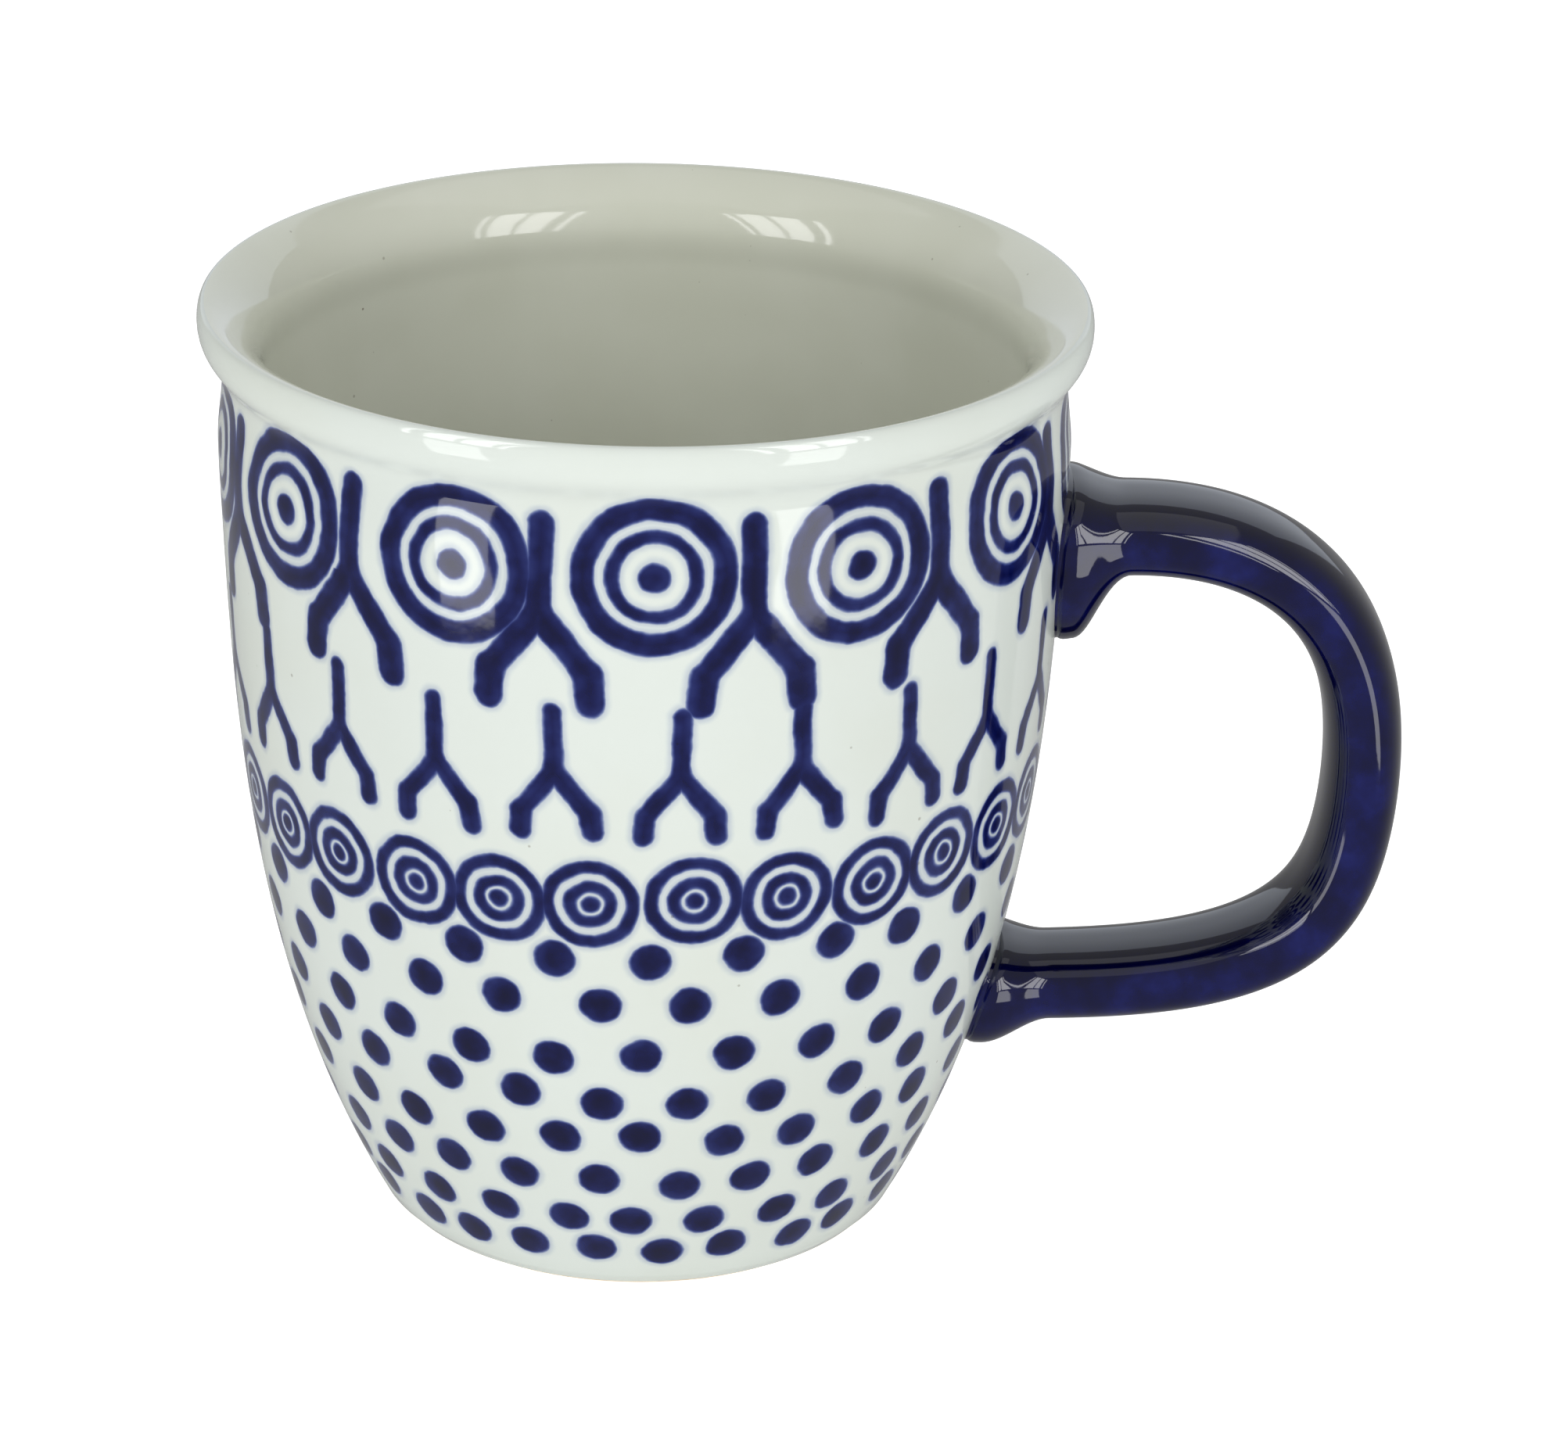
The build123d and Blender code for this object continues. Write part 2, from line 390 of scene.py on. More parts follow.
def build_cobalt_stain():
    """Colour of a glaze with an amount of cobalt in it: thin stain is a light clear blue."""
    tree, given, result = node_group(
        "Cobalt stain", {"Glaze": "Color", "Amount": "Float"}, {"Color": "Color"}
    )
    amounts = put(
        tree,
        "ShaderNodeCombineXYZ",
        {0: given["Amount"], 1: given["Amount"], 2: given["Amount"]},
    ).outputs[0]
    let_through = put(
        tree, "ShaderNodeVectorMath", {0: stain_clear, 1: amounts}, operation="POWER"
    ).outputs[0]
    colour = put(
        tree, "ShaderNodeVectorMath", {0: given["Glaze"], 1: let_through}, operation="MULTIPLY"
    ).outputs[0]
    feed(tree, colour, result["Color"])
    return tree


def build_stamp_row():
    """Where a point of the wall lies on the nearest stamp of a row, each one set by hand."""
    tree, given, result = node_group(
        "Row of stamps",
        {
            "Azimuth": "Float", "Radius": "Float", "Height": "Float", "Count": "Float",
            "Turn": "Float", "Level": "Float", "Wall": "Float", "Reach": "Float",
            "Wander": "Float", "Tilt": "Float", "Seed": "Float",
        },
        {"Across": "Float", "Up": "Float"},
    )
    share = calc(tree, "DIVIDE", given["Azimuth"], 2 * pi)
    along = calc(tree, "MULTIPLY", share, given["Count"])
    along = calc(tree, "SUBTRACT", along, given["Turn"])
    number = calc(tree, "FLOOR", calc(tree, "ADD", along, given["Reach"]))
    stamp = calc(tree, "FLOORED_MODULO", number, given["Count"])
    dice = put(tree, "ShaderNodeTexWhiteNoise", {0: pair(tree, stamp, given["Seed"])})
    dice = put(tree, "ShaderNodeSeparateColor", {0: dice.outputs["Color"]}).outputs
    slips = [
        calc(tree, "MULTIPLY", calc(tree, "SUBTRACT", throw, 0.5), spread)
        for throw, spread in zip(dice, (given["Wander"], given["Wander"], given["Tilt"]))
    ]
    step = calc(tree, "DIVIDE", 2 * pi, given["Count"])
    arc = calc(tree, "MULTIPLY", calc(tree, "SUBTRACT", along, number), step)
    across = calc(tree, "MULTIPLY_ADD", arc, given["Radius"], slips[0])
    rise = calc(tree, "SUBTRACT", given["Height"], given["Level"])
    run = calc(tree, "SUBTRACT", given["Radius"], given["Wall"])
    slant = put(tree, "ShaderNodeVectorMath", {0: pair(tree, rise, run)}, operation="LENGTH")
    side = calc(tree, "SIGN", rise)
    up = calc(tree, "MULTIPLY_ADD", slant.outputs["Value"], side, slips[1])
    feed(tree, calc(tree, "MULTIPLY_ADD", up, slips[2], across), result["Across"])
    back = calc(tree, "MULTIPLY", across, slips[2])
    feed(tree, calc(tree, "SUBTRACT", up, back), result["Up"])
    return tree


def build_target():
    """How deep a point is in the stain of a target: two rings and a middle dot."""
    tree, given, result = node_group(
        "Target stamp",
        {
            "Across": "Float", "Up": "Float", "Size": "Float",
            "First": "Float", "Second": "Float", "Third": "Float", "Fourth": "Float",
        },
        {"Depth": "Float"},
    )
    spot = pair(tree, given["Across"], given["Up"])
    away = put(tree, "ShaderNodeVectorMath", {0: spot}, operation="LENGTH").outputs["Value"]
    away = calc(tree, "DIVIDE", away, given["Size"])
    rings = [
        calc(
            tree,
            "MINIMUM",
            calc(tree, "SUBTRACT", outer, away),
            calc(tree, "SUBTRACT", away, inner),
        )
        for outer, inner in ((1.0, given["First"]), (given["Second"], given["Third"]))
    ]
    dot = calc(tree, "SUBTRACT", given["Fourth"], away)
    depth = calc(tree, "MAXIMUM", calc(tree, "MAXIMUM", *rings), dot)
    feed(tree, calc(tree, "MULTIPLY", depth, given["Size"]), result["Depth"])
    return tree


def build_stroke():
    """How deep a point is in a straight stroke with round ends."""
    tree, given, result = node_group(
        "Stroke",
        {"Spot": "Vector", "Start": "Vector", "End": "Vector", "Half Width": "Float"},
        {"Depth": "Float"},
    )

    def vector(operation, *values, out=0):
        made = put(tree, "ShaderNodeVectorMath", enumerate(values), operation=operation)
        return made.outputs[out]

    reach = vector("SUBTRACT", given["End"], given["Start"])
    offset = vector("SUBTRACT", given["Spot"], given["Start"])
    dots = [vector("DOT_PRODUCT", a, reach, out="Value") for a in (offset, reach)]
    share = put(
        tree, "ShaderNodeMath", {0: dots[0], 1: dots[1]}, operation="DIVIDE", use_clamp=True
    ).outputs[0]
    nearest = put(
        tree, "ShaderNodeVectorMath", {0: reach, 3: share}, operation="SCALE"
    ).outputs[0]
    away = vector("DISTANCE", offset, nearest, out="Value")
    feed(tree, calc(tree, "SUBTRACT", given["Half Width"], away), result["Depth"])
    return tree


def build_fork(stroke):
    """How deep a point is in a fork: a stem, two arms and their feet, the same on both sides."""
    tree, given, result = node_group(
        "Fork stamp", {"Across": "Float", "Up": "Float", "Size": "Float"}, {"Depth": "Float"}
    )
    across = calc(tree, "DIVIDE", calc(tree, "ABSOLUTE", given["Across"]), given["Size"])
    spot = pair(tree, across, calc(tree, "DIVIDE", given["Up"], given["Size"]))
    lines = (((0, 0, 0), fork_stem), ((0, 0, 0), fork_knee), (fork_knee, fork_end))
    depths = [
        put(
            tree,
            "ShaderNodeGroup",
            {"Spot": spot, "Start": start, "End": end, "Half Width": half},
            node_tree=stroke,
        ).outputs[0]
        for (start, end), half in zip(lines, fork_strokes)
    ]
    top_joint = calc(tree, "SMOOTH_MAX", depths[0], depths[1], fork_softness[0])
    depth = calc(tree, "SMOOTH_MAX", top_joint, depths[2], fork_softness[1])
    feed(tree, calc(tree, "MULTIPLY", depth, given["Size"]), result["Depth"])
    return tree


glaze_ripple = build_glaze_ripple()
cobalt_stain = build_cobalt_stain()


def build_decorated_glaze():
    material, tree, shader, place = new_finish("decorated_glaze", Roughness=0.06, IOR=1.5)
    stamp_row, target, fork = build_stamp_row(), build_target(), build_fork(build_stroke())

    # Sponge-cut edges: the place is shaken a little before the stamps read it.
    shaken = place
    for size, shift in sponge_shakes:
        noise = cloud(tree, place, size, 1.0).outputs["Color"]
        noise = put(
            tree, "ShaderNodeVectorMath", {0: noise, 1: (0.5, 0.5, 0.5)}, operation="SUBTRACT"
        )
        shaken = put(
            tree,
            "ShaderNodeVectorMath",
            {0: noise.outputs[0], 1: (shift, shift, shift), 2: shaken},
            operation="MULTIPLY_ADD",
        ).outputs[0]
    x, y, z = put(tree, "ShaderNodeSeparateXYZ", {0: shaken}).outputs
    spot = {
        "Azimuth": calc(tree, "ARCTAN2", y, x),
        "Radius": put(
            tree, "ShaderNodeVectorMath", {0: pair(tree, x, y)}, operation="LENGTH"
        ).outputs["Value"],
        "Height": z,
    }

    def row(count, turn, level, wander, tilt=0.0, reach=0.5):
        values = {
            "Count": count, "Turn": turn, "Level": level, "Wall": wall_radius(level),
            "Reach": reach, "Wander": wander, "Tilt": tilt, "Seed": level,
        }
        found = put(tree, "ShaderNodeGroup", {**spot, **values}, node_tree=stamp_row).outputs
        return {"Across": found["Across"], "Up": found["Up"]}

    depths = []
    rings = dict(zip(("First", "Second", "Third", "Fourth"), target_rings))
    where = row(target_count, target_turn, target_level, 1.0)
    depths.append(put(
        tree, "ShaderNodeGroup", {**where, "Size": target_size, **rings}, node_tree=target
    ))
    rings = dict(zip(("First", "Second", "Third", "Fourth"), small_target_rings))
    for reach in (0.0, 1.0):
        where = row(small_target_count, small_target_turn, small_target_level, 0.9, reach=reach)
        depths.append(put(
            tree, "ShaderNodeGroup", {**where, "Size": small_target_size, **rings}, node_tree=target
        ))
    for count, turn, level, size in (
        (fork_count, fork_turn, fork_level, fork_size),
        (small_fork_count, small_fork_turn, small_fork_level, small_fork_size),
    ):
        where = row(count, turn, level, 0.8, 0.08)
        depths.append(put(tree, "ShaderNodeGroup", {**where, "Size": size}, node_tree=fork))
    depths = [stamp.outputs["Depth"] for stamp in depths]
    for level, turn in dot_rows:
        where = row(dot_count, turn, level, 1.1)
        away = put(
            tree,
            "ShaderNodeVectorMath",
            {0: pair(tree, where["Across"], where["Up"])},
            operation="LENGTH",
        ).outputs["Value"]
        depths.append(calc(tree, "SUBTRACT", dot_size, away))
    depth = depths[0]
    for other in depths[1:]:
        depth = calc(tree, "MAXIMUM", depth, other)

    # Stain: soaked out past the edge, thicker in the middle of a stroke and where it pools.
    soaked = ramp(tree, depth, -bleed, bite)
    halo = calc(tree, "MULTIPLY", ramp(tree, depth, -halo_reach, 0.0), halo_strength)
    pooled = cloud(tree, place, 3.0, 2.0).outputs[0]
    uneven = ramp(tree, pooled, 0.3, 0.7, 0.75, 1.1)
    thick = calc(tree, "ADD", uneven, ramp(tree, depth, 0, 1.6, 0, 0.35))
    amount = calc(tree, "MAXIMUM", calc(tree, "MULTIPLY", soaked, thick), halo)
    body = cloud(tree, place, 26.0, 3.0).outputs[0]
    cream = blend(tree, ramp(tree, body, 0.35, 0.75), glaze_white, glaze_cream)
    specks = put(
        tree,
        "ShaderNodeGroup",
        {"Place": place, "Spacing": speck_spacing, "Size": speck_size},
        node_tree=iron_specks,
    ).outputs[0]
    cream = blend(tree, calc(tree, "MULTIPLY", specks, speck_strength), cream, iron)
    colour = put(
        tree, "ShaderNodeGroup", {"Glaze": cream, "Amount": amount}, node_tree=cobalt_stain
    ).outputs[0]
    feed(tree, colour, shader.inputs["Base Color"])
    ripple = put(tree, "ShaderNodeGroup", {"Place": place}, node_tree=glaze_ripple).outputs[0]
    bump = put(tree, "ShaderNodeBump", {"Height": ripple, "Distance": ripple_depth * mm})
    feed(tree, bump.outputs[0], shader.inputs["Normal"])
    feed(tree, ramp(tree, body, 0.3, 0.7, 0.05, 0.075), shader.inputs["Roughness"])
    return material


outer_glaze = turned_coat("outer_glaze_coat", outside, build_decorated_glaze())
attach(outer_glaze, "root")
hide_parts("outer_glaze")


# --- Liner glaze --------------------------------------------------------------------------------
# The coat inside the cup, poured in and out again: the same clear glaze over the crest of the lip,
# down its inside slope and wall and over the floor. Its colour is painted shade: warmer and
# yellower than the outside coat, the tint that the shaded inside takes from light off its walls.

crest_run, slope_rise, slope_lean = 0.7, 3.1, 0.276
throat_inset, throat_drop, throat_round, throat_length = 5.55, 5.2, 1.6, 4.5
wall_thickness = 3.6
floor_level = 6.6
corner_radius = 11.0
corner_fall, corner_run = 0.6, 0.5     # how full the corner is, down the wall and over the floor
liner_specks = ((3.0, 0.19, 0.4), (9.0, 0.3, 0.75))    # spacing, size and strength
# painted shade: the warm tint of the shaded inside, given to the liner as its own colour
liner_shaded_grey = (0.52, 0.535, 0.45, 1)
liner_shaded_cream = (0.55, 0.565, 0.485, 1)


def inside_outline():
    """The clay's inside, from the crest of the lip down to the middle of the floor."""
    crest = outside[-1]
    slope_foot = Vector((rim - throat_inset, top - throat_drop))
    slope = Vector((-slope_lean, -1)).normalized()
    crest_end = crest - Vector((crest_run, 0))
    low_wall = [p for p in wall_curve(96) if p.y >= floor_level + corner_radius]
    wall = moved_out(low_wall + [Vector((belly, top - belly_drop))], -wall_thickness)[::-1]
    throat_foot = Vector((wall[0].x, top - throat_drop - throat_length))
    lean = (wall[-1] - wall[-2]).normalized()
    corner_foot = Vector((wall[-1].x - corner_radius, floor_level))
    fall = lean * corner_fall * (wall[-1].y - floor_level)
    run = Vector((corner_run * corner_radius, 0))
    throat_start = slope_foot + slope * throat_round
    throat_end = throat_foot + Vector((0, throat_round))
    return [
        crest,
        crest - Vector((hair, 0)),
        *curve([crest, crest_end, slope_foot - slope * slope_rise, slope_foot], 20)[1:],
        *curve([slope_foot, throat_start, throat_end, throat_foot], 10),
        throat_foot,
        *wall[:-1],
        *curve([wall[-1], wall[-1] + fall, corner_foot + run, corner_foot], 16),
        *curve([corner_foot, (0, floor_level)], 10),
        Vector((0, floor_level)),
    ]


def build_liner_glaze():
    material, tree, shader, place = new_finish("liner_glaze", Roughness=0.07, IOR=1.5)
    body = cloud(tree, place, 18.0, 3.0).outputs[0]
    colour = blend(tree, ramp(tree, body, 0.3, 0.7), liner_shaded_grey, liner_shaded_cream)
    for spacing, size, strength in liner_specks:
        specks = put(
            tree,
            "ShaderNodeGroup",
            {"Place": place, "Spacing": spacing, "Size": size},
            node_tree=iron_specks,
        ).outputs[0]
        colour = blend(tree, calc(tree, "MULTIPLY", specks, strength), colour, iron)
    feed(tree, colour, shader.inputs["Base Color"])
    ripple = put(tree, "ShaderNodeGroup", {"Place": place}, node_tree=glaze_ripple).outputs[0]
    bump = put(tree, "ShaderNodeBump", {"Height": ripple, "Distance": ripple_depth * mm})
    feed(tree, bump.outputs[0], shader.inputs["Normal"])
    feed(tree, ramp(tree, body, 0.3, 0.7, 0.06, 0.09), shader.inputs["Roughness"])
    return material


liner_finish = build_liner_glaze()
liner_glaze = turned_coat("liner_glaze_coat", inside_outline(), liner_finish)
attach(liner_glaze, "root")
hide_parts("liner_glaze")


# --- Underside glaze ----------------------------------------------------------------------------
# The shallow recess inside the foot ring is glazed too, so that the bottom can be washed. The
# glaze stops where the ring was wiped, and it shows only when the mug is picked up.

recess_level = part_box("underside_glaze")[1].z / mm
recess_radius = 20.4
wiped_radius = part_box("underside_glaze")[1].x / mm


def underside_outline():
    corner = Vector((recess_radius, recess_level))
    return [
        *curve([(0, recess_level), corner], 6),
        *curve([corner, (wiped_radius, wiped)], 2),
        Vector((wiped_radius, wiped)),
    ]


# the underside shares the liner's finish, painted shade tint included
underside_glaze = turned_coat("underside_glaze_coat", underside_outline(), liner_finish)
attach(underside_glaze, "root")
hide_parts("underside_glaze")


# --- Handle glaze -------------------------------------------------------------------------------
# The coat on the handle: the handle is brushed with solid cobalt under the clear glaze, so it
# comes out a deep blue, nearly black where it lies thick. The bar swells where it is stuck to the
# wall, and slip and glaze fill the corner there as a small fillet, so it stands for the slip too.

upper_root_drop, lower_root_height = 25.0, 23.6
handle_bends = ((44.2, 1.20), (33.2, 0.276), (22.4, 0.56), (44.9, -0.027), (16.9, 0.004))
root_depth = 3.2
half_thickness, half_width = (3.75, 3.4), (7.5, 6.3)
roundness = 2.5
flare_length = 7.0
upper_flare, lower_flare = (2.6, 6.6, 1.7), (2.6, 1.4, 2.0)   # outside, inside, each side
girth_steps, length_steps, fillet_steps = 72, 150, 6
fillet_run, fillet_foot = 1.5, 1.1     # how far the fillet reaches up the handle and over the wall
fillet_sink = 0.03                     # how deep its edge lies in the wall's glaze
cobalt_base = (0.42, 0.45, 0.62, 1)
handle_ripple = 0.036
full_stain, thinned = 1.8, 0.8         # stain all round, and how much less of it on the flat sides


def bezier_point(points, share):
    """Place and direction at a share of a Bezier curve."""
    row = [Vector(point) for point in points]
    while len(row) > 2:
        row = [a.lerp(b, share) for a, b in zip(row, row[1:])]
    return row[0].lerp(row[1], share), (row[1] - row[0]).normalized()


def handle_line():
    """The handle's centre line as a table of lengths, places and directions in the XZ plane."""
    upper_height = top - upper_root_drop
    upper = Vector((wall_radius(upper_height, outside) - root_depth, upper_height))
    lower = Vector((wall_radius(lower_root_height, outside) - root_depth, lower_root_height))
    rise = upper_height - lower_root_height
    bends = [Vector((belly + out, lower_root_height + rise * up)) for out, up in handle_bends]
    steps = 600
    table, length, last = [], 0.0, None
    for step in range(steps + 1):
        place, along = bezier_point([upper, *bends, lower], step / steps)
        length += (place - last).length if last else 0.0
        table.append((length, place, along))
        last = place
    return table


centre_line = handle_line()
handle_length = centre_line[-1][0]


def centre_at(distance):
    """Place and direction of the centre line, carried straight on past its ends."""
    if distance <= 0:
        _, place, along = centre_line[0]
        return place + along * distance, along
    if distance >= handle_length:
        _, place, along = centre_line[-1]
        return place + along * (distance - handle_length), along
    low, high = 0, len(centre_line) - 1
    while high - low > 1:
        middle = (low + high) // 2
        low, high = (middle, high) if centre_line[middle][0] < distance else (low, middle)
    start, end = centre_line[low], centre_line[high]
    share = (distance - start[0]) / (end[0] - start[0])
    return start[1].lerp(end[1], share), start[2].lerp(end[2], share).normalized()


def handle_point(distance, girth, growth):
    """A point of the handle's skin: how far along, and how far round as a share of a turn."""
    place, along = centre_at(distance)
    share = min(max(distance / handle_length, 0), 1)
    thick = half_thickness[0] + (half_thickness[1] - half_thickness[0]) * share + growth
    wide = half_width[0] + (half_width[1] - half_width[0]) * share + growth
    c, s = cos(2 * pi * girth), sin(2 * pi * girth)
    reach = (abs(c) ** roundness + abs(s) ** roundness) ** (-1 / roundness)
    for from_wall, flare in (
        (distance - root_depth, upper_flare),
        (handle_length - root_depth - distance, lower_flare),
    ):
        away = min(max(from_wall / flare_length, 0), 1)
        swell = 1 - away * away * (3 - 2 * away)
        thick += swell * flare[0 if s > 0 else 1]
        wide += swell * flare[2]
    out = Vector((-along.y, along.x))
    spot = place + out * (s * reach * thick)
    return Vector((spot.x, c * reach * wide, spot.y))


def meets_wall(girth, growth, near_upper):
    """How far along the handle's skin comes out of the wall."""
    outline = glazed_outside if growth else outside
    inside_wall, clear = (-root_depth, 14.0)
    for _ in range(30):
        middle = (inside_wall + clear) / 2
        distance = middle if near_upper else handle_length - middle
        spot = handle_point(distance, girth, growth)
        outside_now = hypot(spot.x, spot.y) > wall_radius(spot.z, outline)
        inside_wall, clear = (inside_wall, middle) if outside_now else (middle, clear)
    return clear if near_upper else handle_length - clear


def on_wall(spot, sink):
    """A point moved straight in or out to lie just under the wall's glaze."""
    share = (wall_radius(spot.z) - sink) / hypot(spot.x, spot.y)
    return Vector((spot.x * share, spot.y * share, spot.z))


def handle_rail(girth, growth, fillets):
    """One line of points along the handle's skin, from the upper root to the lower."""
    first, last = (meets_wall(girth, growth, upper) for upper in (True, False))
    starts = fillet_run if fillets else 0.0
    points = []
    for step in range(length_steps + 1):
        even = step / length_steps
        share = 0.6 * even + 0.4 * (0.5 - 0.5 * cos(pi * even))
        distance = first + starts + (last - first - 2 * starts) * share
        points.append(handle_point(distance, girth, growth))
    if not fillets:
        return points
    turn, step_on, rise = 0.004, 0.1, 0.5      # small steps that show how a surface lies
    for distance, at_start in ((first, True), (last, False)):
        contact = handle_point(distance, girth, growth)
        ahead = handle_point(distance, girth + turn, growth)
        behind = handle_point(distance, girth - turn, growth)
        further = handle_point(distance + step_on, girth, growth)
        nearer = handle_point(distance - step_on, girth, growth)
        away = (further - nearer).cross(ahead - behind).normalized()
        grown = wall_radius(contact.z + rise) - wall_radius(contact.z - rise)
        slope = grown / (2 * rise)
        wall_out = Vector((contact.x, contact.y, -slope * hypot(contact.x, contact.y))).normalized()
        over_wall = (away - wall_out * away.dot(wall_out)).normalized()
        end = on_wall(contact + over_wall * fillet_foot, fillet_sink)
        begin = points[0] if at_start else points[-1]
        shares = [step / fillet_steps for step in range(1, fillet_steps + 1)]
        bow = [begin.lerp(contact, t).lerp(contact.lerp(end, t), t) for t in shares]
        points = bow[::-1] + points if at_start else points + bow
    return points


def build_handle_skin():
    """Outer and inner skin of the coat, joined where both end at the wall."""
    rails = []
    for step in range(girth_steps):
        girth = step / girth_steps
        rails.append(handle_rail(girth, glaze, True) + handle_rail(girth, 0.0, False)[::-1])
    rings = len(rails[0])
    points = [rail[ring] * mm for ring in range(rings) for rail in rails]
    faces, wraps = [], []
    outer_rings = length_steps + 1 + 2 * fillet_steps
    for ring in range(rings):
        for step in range(girth_steps):
            beside, after = (step + 1) % girth_steps, (ring + 1) % rings
            faces.append((
                ring * girth_steps + step, ring * girth_steps + beside,
                after * girth_steps + beside, after * girth_steps + step,
            ))
            along = [min(r, outer_rings) / outer_rings for r in (ring, ring, ring + 1, ring + 1)]
            about = [g / girth_steps for g in (step, step + 1, step + 1, step)]
            wraps += list(zip(along, about))
    mesh = bpy.data.meshes.new("handle_glaze_coat")
    mesh.from_pydata(points, [], faces)
    wrap = mesh.uv_layers.new(name="Round the handle")
    wrap.data.foreach_set("uv", [number for uv in wraps for number in uv])
    mesh.shade_smooth()
    mesh.set_sharp_from_angle(angle=radians(60))
    piece = bpy.data.objects.new("handle_glaze_coat", mesh)
    bpy.context.scene.collection.objects.link(piece)
    return piece


def build_cobalt_glaze():
    material, tree, shader, place = new_finish("cobalt_glaze", Roughness=0.05, IOR=1.52)
    wrap = put(tree, "ShaderNodeUVMap", uv_map="Round the handle").outputs[0]
    around = put(tree, "ShaderNodeSeparateXYZ", {0: wrap}).outputs[1]
    # The stain lies thinner on the flat sides, and pools on the shoulders beside them.
    side = calc(tree, "COSINE", calc(tree, "MULTIPLY", around, 2 * pi))
    flat = ramp(tree, calc(tree, "ABSOLUTE", side), 0.55, 0.98)
    patches = cloud(tree, place, 6.0, 3.0).outputs[0]
    streaks = cloud(tree, place, 1.6, 2.0).outputs[0]
    thin = calc(tree, "MULTIPLY", flat, ramp(tree, patches, 0.3, 0.7, 0.45, 1.0))
    amount = calc(tree, "SUBTRACT", full_stain, calc(tree, "MULTIPLY", thin, thinned))
    amount = calc(tree, "ADD", amount, ramp(tree, streaks, 0.3, 0.7, -0.07, 0.07))
    colour = put(
        tree, "ShaderNodeGroup", {"Glaze": cobalt_base, "Amount": amount}, node_tree=cobalt_stain
    ).outputs[0]
    feed(tree, colour, shader.inputs["Base Color"])
    ripple = put(tree, "ShaderNodeGroup", {"Place": place}, node_tree=glaze_ripple).outputs[0]
    bump = put(tree, "ShaderNodeBump", {"Height": ripple, "Distance": handle_ripple * mm})
    feed(tree, bump.outputs[0], shader.inputs["Normal"])
    feed(tree, ramp(tree, patches, 0.3, 0.7, 0.04, 0.07), shader.inputs["Roughness"])
    return material


handle_glaze = build_handle_skin()
handle_glaze.data.materials.append(build_cobalt_glaze())
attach(handle_glaze, "root")
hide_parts("handle_glaze", "upper_slip_joint", "lower_slip_joint")


# --- Table --------------------------------------------------------------------------------------
# A plain sheet of white board that the mug stands on. It is big enough to fill every view.

table_reach = 4.0
board_white, board_bright = (0.93, 0.93, 0.93, 1), (0.95, 0.95, 0.95, 1)
board_glow = 0.62        # keeps the board evenly white, as a lit table does


def build_table():
    mesh = bpy.data.meshes.new("table")
    turns = ((-1, -1), (1, -1), (1, 1), (-1, 1))
    corners = [(x * table_reach, y * table_reach, 0) for x, y in turns]
    mesh.from_pydata(corners, [], [(0, 1, 2, 3)])
    board = bpy.data.objects.new("table", mesh)
    bpy.context.scene.collection.objects.link(board)
    material, tree, shader, place = new_finish("white_board", Roughness=0.9)
    fibre = cloud(tree, place, 3.0, 3.0).outputs[0]
    shader.inputs["Emission Color"].default_value = (1, 1, 1, 1)
    shader.inputs["Emission Strength"].default_value = board_glow
    colour = blend(tree, ramp(tree, fibre, 0.3, 0.7), board_white, board_bright)
    feed(tree, colour, shader.inputs["Base Color"])
    mesh.materials.append(material)
    board.visible_glossy = False
    return board


build_table()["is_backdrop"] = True


# --- Studio -------------------------------------------------------------------------------------
# A white room with two tall windows in front, left and right, and a broad soft light overhead.
# The camera looks down on the mug from the front, with the handle to its right.

room_light = 0.36
window_sides = (("left", radians(-136)), ("right", radians(-49)))
window_distance, window_height = 0.42, 0.08
upper_panes = ((-0.095, 0.016), (-0.026, 0.060), (0.046, 0.060), (0.098, 0.012))
lower_panes = ((0.0, 0.105),)           # middle and width of each pane
# Each sash: its lower and upper edge as seen from the mug, brightness and panes.
window_sashes = (
    (radians(-24), radians(2), 3.4, lower_panes),
    (radians(6), radians(48), 6.0, upper_panes),
)
ceiling_height, ceiling_size, ceiling_power = 1.1, 1.2, 1.8
backdrop_distance, backdrop_level, backdrop_size, backdrop_power = 1.0, 0.5, (1.6, 0.8), 2.8
backdrop_blue = (0.80, 0.88, 1.0)

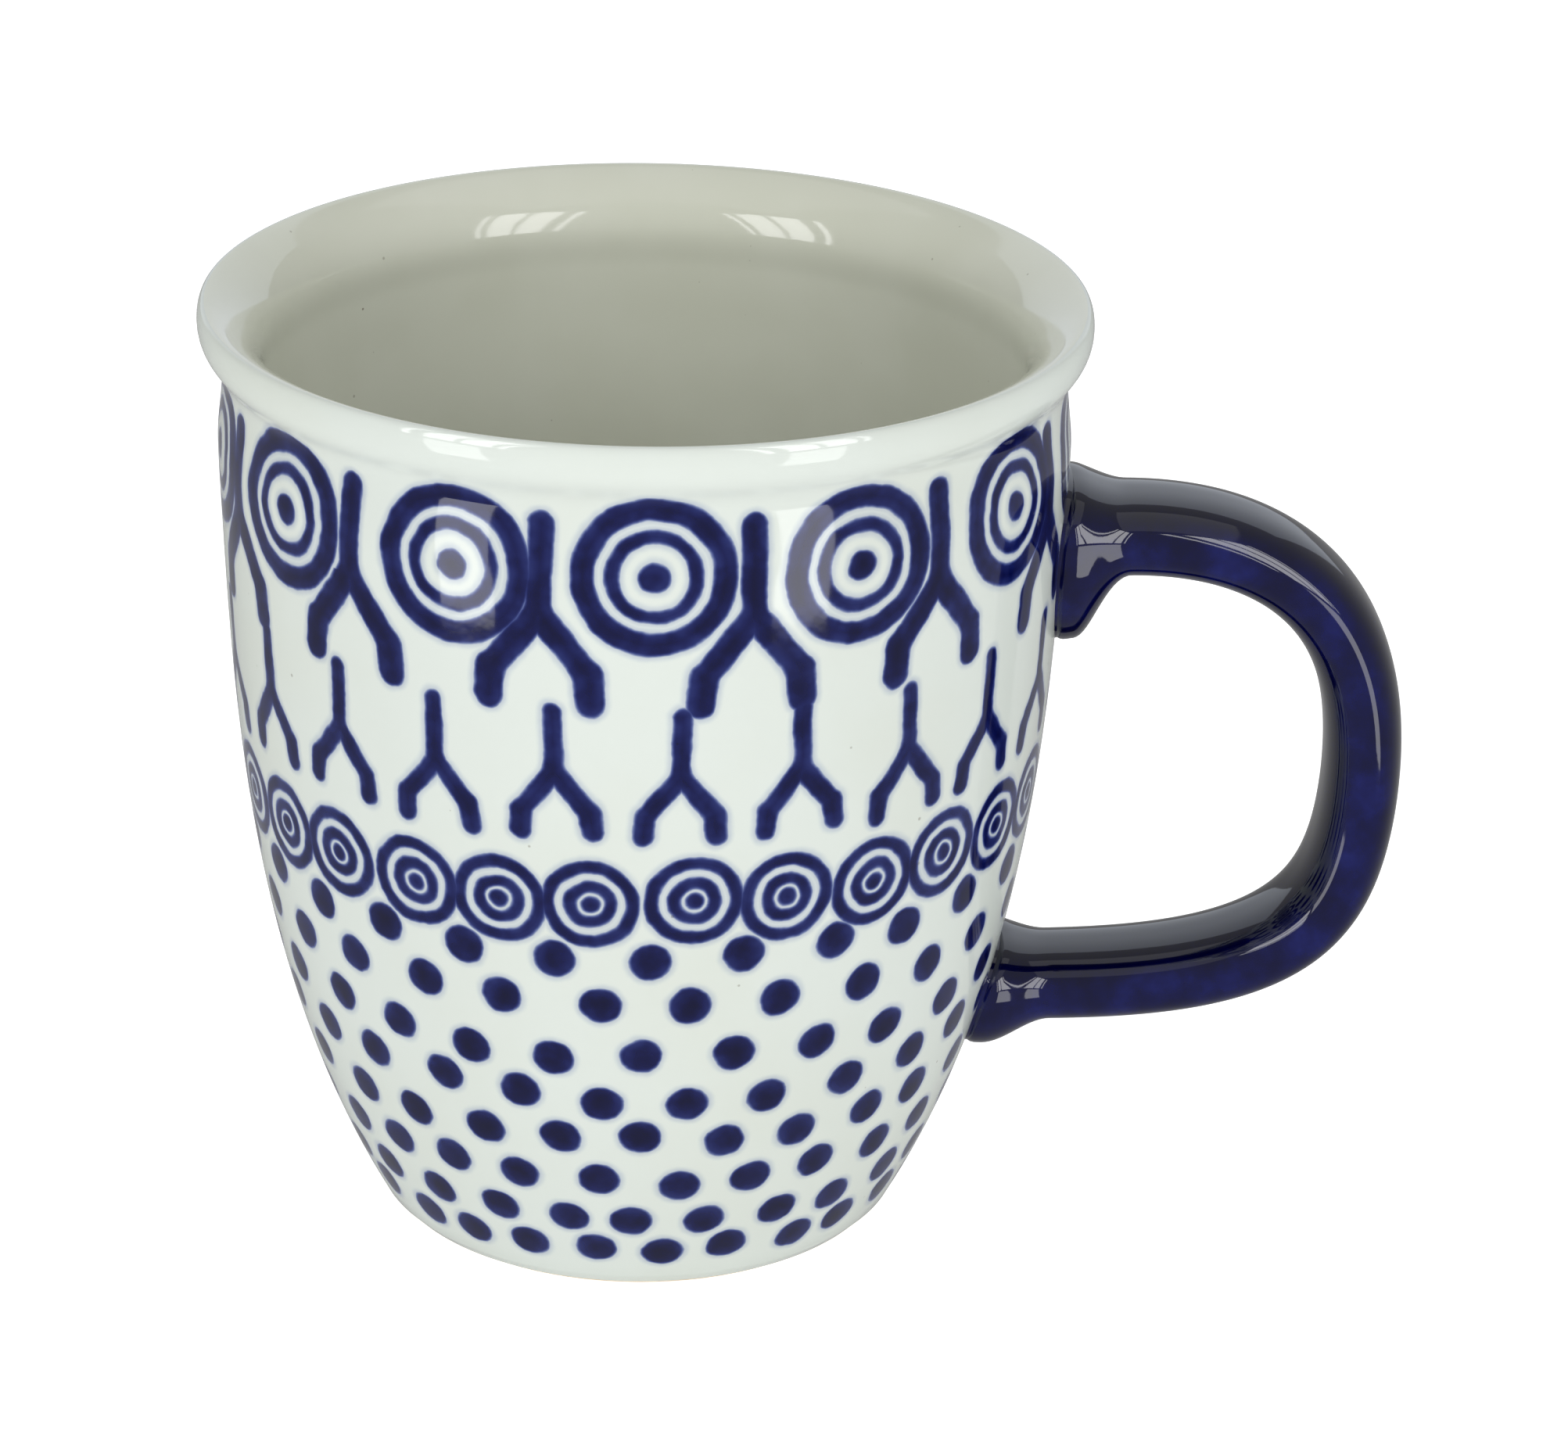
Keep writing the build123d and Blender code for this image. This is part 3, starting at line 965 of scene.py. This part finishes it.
world = bpy.data.worlds.new("white room")
world.use_nodes = True
world.node_tree.nodes["Background"].inputs["Color"].default_value = (1, 1, 1, 1)
world.node_tree.nodes["Background"].inputs["Strength"].default_value = room_light
bpy.context.scene.world = world
bpy.context.scene.view_settings.view_transform = "Standard"


def add_light(name, place, aim, width, height, power, colour=(1, 1, 1)):
    light = bpy.data.lights.new(name, "AREA")
    light.color = colour
    light.shape = "RECTANGLE"
    light.size, light.size_y, light.energy = width, height, power
    lamp = bpy.data.objects.new(name, light)
    lamp.location = place
    lamp.rotation_euler = (Vector(aim) - Vector(place)).to_track_quat("-Z", "Y").to_euler()
    lamp.visible_camera = False
    bpy.context.scene.collection.objects.link(lamp)


for side, azimuth in window_sides:
    sideways = Vector((-sin(azimuth), cos(azimuth), 0))
    for sash, (low, high, radiance, panes) in enumerate(window_sashes):
        lift = (low + high) / 2
        outwards = Vector((cos(azimuth) * cos(lift), sin(azimuth) * cos(lift), sin(lift)))
        tall = 2 * window_distance * tan((high - low) / 2)
        for number, (offset, width) in enumerate(panes):
            aim = sideways * offset + Vector((0, 0, window_height))
            power = radiance * pi * width * tall
            name = f"{side}_window_{sash}_{number}"
            add_light(name, aim + outwards * window_distance, aim, width, tall, power)
add_light("ceiling", (0, 0, ceiling_height), (0, 0, 0), ceiling_size, ceiling_size, ceiling_power)
backdrop_place = (0, backdrop_distance, backdrop_level)
add_light("backdrop", backdrop_place, (0, 0, 0.1), *backdrop_size, backdrop_power, backdrop_blue)

camera_place = (0, -0.5858, 0.2950)
camera_turn = Euler((pi / 2 - 0.3938, 0, 0)).to_matrix()
camera_turn = Euler((0, 0, -0.0247)).to_matrix() @ camera_turn @ Euler((0, 0, 0.01993)).to_matrix()
lens = bpy.data.cameras.new("camera")
lens.lens, lens.sensor_width, lens.sensor_fit = 142.76, 36.0, "HORIZONTAL"
camera = bpy.data.objects.new("camera", lens)
camera.location = camera_place
camera.rotation_euler = camera_turn.to_euler()
bpy.context.scene.collection.objects.link(camera)
bpy.context.scene.camera = camera

low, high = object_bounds()
